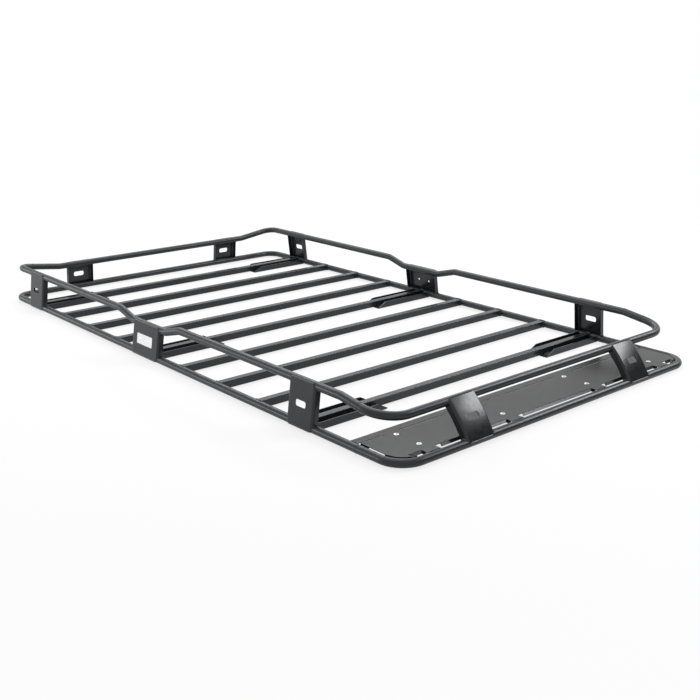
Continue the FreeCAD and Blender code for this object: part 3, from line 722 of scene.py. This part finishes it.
# The outline's front edge on the left: the corner, the first notch and two tabs.
corner = corner_arc[corner_arc[:, 0] < -first_notch]
front_left = [corner, [(-first_notch, corner[-1, 1])]]
for column, notch in zip(COLUMNS, (NOTCH, 0)):
    front_left.append([(column - TAB_HALF - notch, NOTCH_BACK),
                       (column - TAB_HALF, NOTCH_BACK), (column - TAB_HALF, meets - TAB_TUCK),
                       (column + TAB_HALF, meets - TAB_TUCK), (column + TAB_HALF, NOTCH_BACK)])
front_left = np.concatenate(front_left)
# Its rear end on the right: the open end of a slit and the strip behind.
rear_right = np.array([(rim_x, SLIT[0]), (bridge, SLIT[0]), (bridge, SLIT[1]), (strip_x, SLIT[1]),
                       (strip_x, STRIP_BACK)])


def mirrored(points):
    """The same points (x, y) on the other side, (-x, y), in reverse order."""
    return points[::-1] * np.array([-1, 1])


turn = np.linspace(0, 2 * math.pi, HOLE_SIDES + 1)[:-1]
hole = HOLE_R * np.stack([np.cos(turn), np.sin(turn)], axis=-1)
panel_outlines = [np.concatenate([front_left, mirrored(front_left), rear_right, mirrored(rear_right)])]
panel_outlines += [np.array([(left + BRIDGE_HALF, SLIT[0]), (right - BRIDGE_HALF, SLIT[0]),
                             (right - BRIDGE_HALF, SLIT[1]), (left + BRIDGE_HALF, SLIT[1])])
                   for left, right in zip(COLUMNS, COLUMNS[1:])]
panel_outlines += [hole + np.array([x, y - FRONT_Y]) for x in COLUMNS for y in ROWS]


def cut_sheet(outlines, top, sheet, edge):
    """Sheet inside the first outline less the other ones, with slightly rounded edges."""
    curve = bpy.data.curves.new("sheet", "CURVE")
    curve.dimensions, curve.fill_mode = "2D", "BOTH"
    curve.extrude, curve.bevel_depth, curve.bevel_resolution = sheet / 2 - edge, edge, 1
    curve.offset = -edge
    for outline in outlines:
        spline = curve.splines.new("POLY")
        spline.points.add(len(outline) - 1)
        flat = np.zeros((len(outline), 4))
        flat[:, :2], flat[:, 3] = outline, 1
        spline.points.foreach_set("co", flat.ravel())
        spline.use_cyclic_u = True
    blank = bpy.data.objects.new("sheet", curve)
    scene.collection.objects.link(blank)
    mesh = bpy.data.meshes.new_from_object(blank.evaluated_get(bpy.context.evaluated_depsgraph_get()))
    bpy.data.objects.remove(blank)
    spots = np.empty(len(mesh.vertices) * 3)
    mesh.vertices.foreach_get("co", spots)
    spots = spots.reshape(-1, 3) + np.array([0, FRONT_Y, top - sheet / 2])
    mesh.vertices.foreach_set("co", spots.ravel())
    return mesh


def fold(path, inward, down):
    """Turned down edge: solid path + s sheet inward + t depth down, s and t from 0 to 1."""
    path = np.asarray(path, float) + np.array([0, FRONT_Y, panel_top - PANEL_SHEET * FOLD_SUNK])
    inward, down = (np.broadcast_to(np.asarray(vector, float), path.shape) for vector in (inward, down))
    inner = path + inward * PANEL_SHEET
    return np.stack([path, inner, inner + down * FOLD_DOWN, path + down * FOLD_DOWN], axis=1), False


# Folds under the strip, the round corners, the ears by the slits, the tabs' sides and the front edge.
folds = [fold([(-strip_x, STRIP_BACK, 0), (strip_x, STRIP_BACK, 0)], -Y_AXIS, -Z_AXIS)]
for sign in (-1, 1):
    arc = np.column_stack([corner_arc * np.array([-sign, 1]), np.zeros(ARC_POINTS)])
    toward = np.array([-sign * (CORNER_BEND - rim_x), RIM + CORNER_BEND, 0]) - arc
    folds.append(fold(arc, toward / CORNER_BEND, -Z_AXIS))
    folds.append(fold([(sign * rim_x, SLIT[0] - EAR, 0), (sign * rim_x, SLIT[0], 0)],
                      -X_AXIS * sign, -Z_AXIS))
    for x in COLUMNS:
        edge = x + sign * TAB_HALF
        folds.append(fold([(edge, RIM, 0), (edge, LUG_END, 0)], -X_AXIS * sign, -Z_AXIS))
starts = [-first_notch] + [x + TAB_HALF + RELIEF for x in COLUMNS]
ends = [x - TAB_HALF for x in COLUMNS] + [first_notch]
leaning = np.array([0, -math.sin(LEAN), -math.cos(LEAN)])
for start, end in zip(starts, ends):
    folds.append(fold([(start, NOTCH_BACK, 0), (end - FOLD_STOP, NOTCH_BACK, 0)],
                      np.cross(leaning, X_AXIS), leaning))
add_piece("cut_panel_sheet", cut_sheet(panel_outlines, panel_top, PANEL_SHEET, PANEL_EDGE), panel_coat,
          "front_panel")
add_piece("panel_folds", loft_mesh("panel_folds", folds), panel_coat)
# Beads along the tabs on the front tube, and along the strip's ends on the side tubes.
panel_beads = []
for x in COLUMNS:
    seam = np.array([x, FRONT_Y + meets + SEAM_OFF, panel_top])
    half = X_AXIS * (TAB_HALF - SEAM_END)
    panel_beads.append(weld_bead(line_between(seam - half, seam + half), Z_AXIS, EDGE_BEAD))
for sign in (-1, 1):
    seam = np.array([sign * (SIDE_X - meets - SEAM_OFF), FRONT_Y, panel_top])
    panel_beads.append(weld_bead(line_between(seam + Y_AXIS * (SLIT[1] + SEAM_END),
                                              seam + Y_AXIS * (STRIP_BACK - SEAM_END)), Z_AXIS, EDGE_BEAD))
add_welds("panel_welds", panel_beads)

# Rivet nuts: eight bright M8 rivet nuts, pressed into the panel's holes after coating, take the
# screws of accessories. Each is turned steel: a domed flange on a plain sleeve.
NUT_PROFILE_MM = ((3.4, 0.7), (4.1, 1.3), (6.6, 1.3), (7.3, 0.9), (7.4, 0.0), (5.5, 0.0), (5.5, -13.0),
                  (3.4, -13.0))
NUT_SIDES = 40
radius, height = np.array(NUT_PROFILE_MM).T / 1000
turn = np.linspace(0, 2 * math.pi, NUT_SIDES + 1)[:-1, None]
nut = np.stack(np.broadcast_arrays(radius * np.cos(turn), radius * np.sin(turn), height), axis=-1)
nuts = [(nut + np.array([x, y, panel_top]), True) for x in COLUMNS for y in ROWS]
add_piece("rivet_nuts", loft_mesh("rivet_nuts", nuts), rivet_metal)
